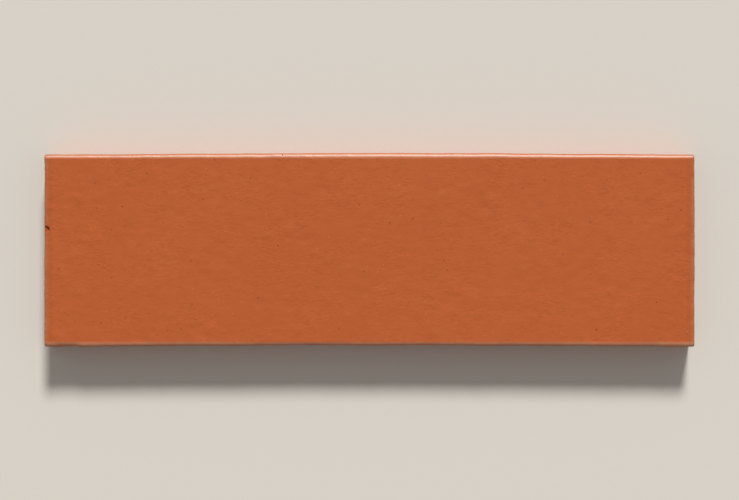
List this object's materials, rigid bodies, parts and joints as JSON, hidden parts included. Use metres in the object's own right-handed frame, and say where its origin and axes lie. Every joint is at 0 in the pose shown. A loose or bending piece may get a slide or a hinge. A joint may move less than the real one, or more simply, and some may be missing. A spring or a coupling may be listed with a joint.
{
  "type": "clinker facade tile",
  "caption": "Extruded clinker facade slip with a smooth flat face, eased arrises and dovetail keys along its back.",
  "frame": {"origin": "centre of the back, in the plane of its lands", "axes": "+X along the tile's length, +Y towards the long side that is laid uppermost in a wall, +Z out of the face"},
  "size_m": [0.24, 0.071, 0.014],
  "materials": {
    "clinker": "satin"
  },
  "bodies": {
    "root": {"facade_tile": "clinker"}
  },
  "joints": []
}
